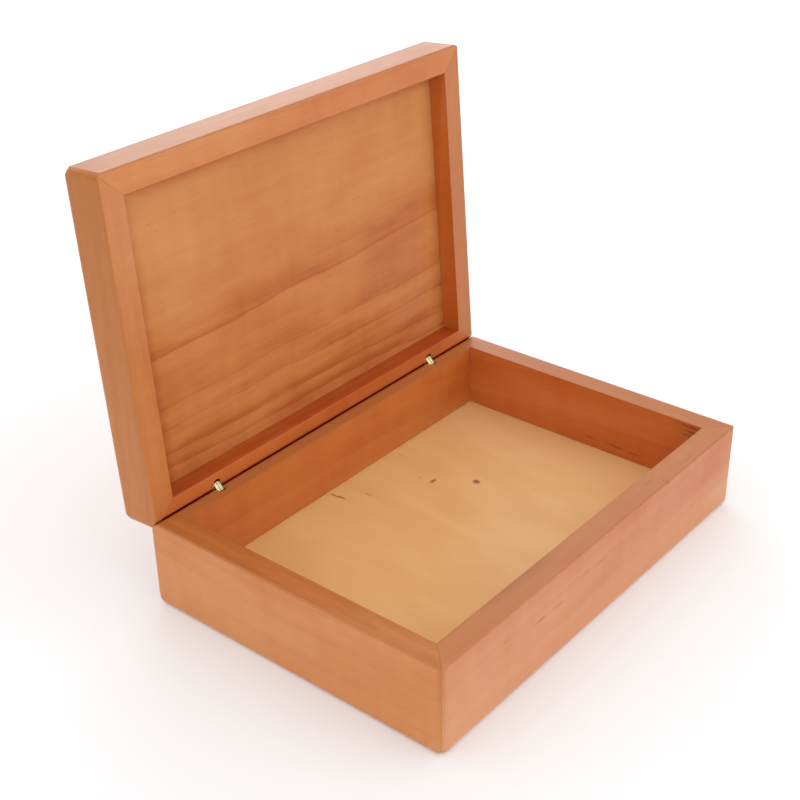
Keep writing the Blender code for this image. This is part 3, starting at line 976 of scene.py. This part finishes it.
def band_stops():
    """The ramp of tones from the top of the panel, at 0, to its foot, at 1."""
    tones = [(0.0, 0.0), (PLAIN_END, PLAIN_TONE)]
    for start, end, tone, tone_below in PANEL_BANDS:
        tones.append((start, tones[-1][1]))
        tones.append((end - BAND_LINE, tone))
        tones.append((end, tone + LINE_TONE))
        tones.append((end + BAND_FADE, tone_below))
    return [(distance / PANEL_DEPTH, (tone, tone, tone)) for distance, tone in tones]


def fanned_bands(recipe, place, across, down):
    """The summer bands, from 0 to 1, fanned out and stronger in some patches than in others."""
    slant = recipe.math("MULTIPLY_ADD", down, FAN_GROWTH, FAN_START)
    share = recipe.math("DIVIDE", across, PANEL_LENGTH)
    fanned = recipe.math("SUBTRACT", down, recipe.math("MULTIPLY", slant, share))
    bands = recipe.ramp(recipe.math("DIVIDE", fanned, PANEL_DEPTH), band_stops())
    patchy = recipe.noise(place, wood_grains(along=16.0, across=90.0))
    return recipe.math("MULTIPLY", bands, recipe.ease(patchy, 0.35, 0.65, start=0.7, end=1.15))


print("panel bands:", len(PANEL_BANDS), "with", len(band_stops()), "stops of the ramp")

# %% [markdown]
# ## Finish of the lid panel
# The panel's finish is cherry, with the bands in place of rings. Straight bands would look printed, so two
# noises bend them, a slow one for the sweep and a fast one for the ragged edge. Painted shade deepens the
# panel along its top and left edges, where the lid's front and left boards shade it, and painted light
# makes it paler along the right one.

# %% Panel finish
PANEL_CHERRY = ((0.665, 0.295, 0.100), (0.594, 0.214, 0.060), (0.445, 0.111, 0.026))
PANEL_EDGE = (0.0, 0.0274, 0.2460)  # on the panel's inner face, where the lid's front wall meets it
PANEL_SHINE = 0.2
LID_LEAN_DEGREES = LID_OPEN_DEGREES - 90
BAND_SWEEP = 0.0065  # the span of the slow noise that bends the bands, and of the fast one
BAND_RAG = 0.0018
BAND_LEAN = 0.8  # how far the bands climb as they go through the board
# painted shade along the top and left edges, where the lid's boards shade the panel: how wide and how
# deep; then painted light along the right edge
TOP_SHADE_WIDTH = 0.011
TOP_SHADE = 0.70
LEFT_SHADE_WIDTH = 0.018
LEFT_SHADE = 0.80
RIGHT_LIGHT_WIDTH = 0.030
RIGHT_LIGHT = 0.40


def edge_shade(recipe, across, down):
    """Painted shade along the top and left edges of the panel, and painted light along the right one."""
    half = PANEL_LENGTH / 2
    top = recipe.ease(down, 0.0, TOP_SHADE_WIDTH, start=TOP_SHADE, end=0.0)
    left = recipe.ease(across, -half, LEFT_SHADE_WIDTH - half, start=LEFT_SHADE, end=0.0)
    right = recipe.ease(across, half - RIGHT_LIGHT_WIDTH, half, start=0.0, end=RIGHT_LIGHT)
    return recipe.math("SUBTRACT", recipe.math("MAXIMUM", top, left), right)


def panel_tone(recipe, place):
    """The panel's bands and the painted shade and light at its edges, in place of rings."""
    bent = recipe.sway(place, wood_grains(along=14.0, across=34.0), reach=(0.0, 0.0, BAND_SWEEP))
    bent = recipe.sway(bent, wood_grains(along=90.0, across=900.0), reach=(0.0, 0.0, BAND_RAG))
    axes = recipe.add("SeparateXYZ", {"Vector": bent}).outputs
    down = recipe.math("MULTIPLY_ADD", axes["Y"], BAND_LEAN, recipe.math("MULTIPLY", axes["Z"], -1.0))
    bands = fanned_bands(recipe, place, axes["X"], down)
    return recipe.math("ADD", bands, edge_shade(recipe, axes["X"], down))


panel_cherry = cherry(
    "cherry_panel", middle=PANEL_EDGE, turn_degrees=(-LID_LEAN_DEGREES, 0, 0),
    rings=panel_tone, ring_depth=0.85, level=0.28, drift=(0.7, 0, 0),
    tones=PANEL_CHERRY, fleck_depth=0.45, shine=PANEL_SHINE,
)
print("panel finish:", panel_cherry.name)

# %% [markdown]
# ## Lid panel
# The panel floats in a groove of the lid's boards, and only a thin shadow line shows round it. In the
# solids that line is a little wide. Scaling the panel would move its tongue in the groove too, so only
# the points of its two faces move out.

# %% Lid panel
PANEL_SPREAD = 0.0003
LID_INSIDE = (PANEL_LENGTH / 2, PANEL_DEPTH / 2)


def spread_panel(bm):
    """Lets the panel's two faces grow towards the walls, and leaves its tongue as it is."""
    low, high = corners(bm)
    middle = (low + high) / 2
    for vert in bm.verts:
        offset = vert.co - middle
        for axis in (0, 1):
            if abs(offset[axis]) < LID_INSIDE[axis]:
                vert.co[axis] += PANEL_SPREAD if offset[axis] > 0 else -PANEL_SPREAD


panel_bm = merged_copy("lid_panel", "lid")
spread_panel(panel_bm)
finish_piece("lid_panel_board", panel_bm, "lid", panel_cherry, "lid_panel")

# %% [markdown]
# ## Floor
# The floor is a plain sheet, held in a groove, so its solid needs no other shape. Its grain runs from
# front to back, with two pin knots and a few bark streaks, which are set one by one, as the front
# board's are.

# %% Floor
FLOOR_MIDDLE = (0.0, -0.099, 0.014)
floor_marks = (
    (0.0459, -0.0355, 0.0021, 0.0050, 0.60),
    (0.0233, -0.0519, 0.0036, 0.0034, 0.85),
    (0.0547, -0.0335, 0.0018, 0.0010, 0.4),
    (0.0845, 0.0168, 0.0066, 0.0008, 0.8),
    (0.0795, 0.0157, 0.0050, 0.0009, 1.0),
    (0.0683, 0.0025, 0.0050, 0.0008, 0.5),
    (0.0823, -0.0475, 0.0060, 0.0008, 0.3),
)
floor_birch = birch(
    "birch_floor", middle=FLOOR_MIDDLE, turn_degrees=(0, 0, 90),
    marks=marks_on_top(level=0.0, reach=0.004, rows=floor_marks),
)
floor_bm = merged_copy("base_floor", "base")
finish_piece("floor_board", floor_bm, "base", floor_birch, "base_floor")

# %% [markdown]
# ## Hinges
# Each hinge is a pair of slotted barrels with three leaves between them. Only the leaves and the mouths
# of the barrels show. The barrels keep the shape that turning gives them, with smooth round sides and
# crisp edges. The leaves are stamped and tumbled, so their sharp edges get a bevel, with the helper that
# eased the rims.

# %% Hinge brass
LEAF_EASE = 0.0003


def soften_edges(bm):
    """Rounds the edges that stamping leaves on a leaf."""
    bm.normal_update()
    edges = [edge for edge in bm.edges if edge.calc_face_angle() > radians(CREASE_DEGREES)]
    round_edges(bm, edges, LEAF_EASE)


for side in ("left", "right"):
    for half in ("base", "lid"):
        node = f"{side}_hinge_{half}_barrel"
        finish_piece(f"{side}_{half}_barrel_brass", merged_copy(node, half), half, brass, node)
    for place in (1, 2, 3):
        node = f"{side}_hinge_leaf_{place}"
        leaf_bm = merged_copy(node, "links")
        soften_edges(leaf_bm)
        finish_piece(f"{side}_leaf_{place}_brass", leaf_bm, "links", leaf_brass, node)

# %% [markdown]
# ## Pins
# The pins are plain drawn rods that hardly show. Their solids have the right shape, so nothing replaces
# them, and they only get the steel finish.

# %% Pins
pins = [obj for name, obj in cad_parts.items() if name.endswith("_pin")]
for pin in pins:
    pin.data.materials.clear()
    pin.data.materials.append(steel)
print("pins:", len(pins))
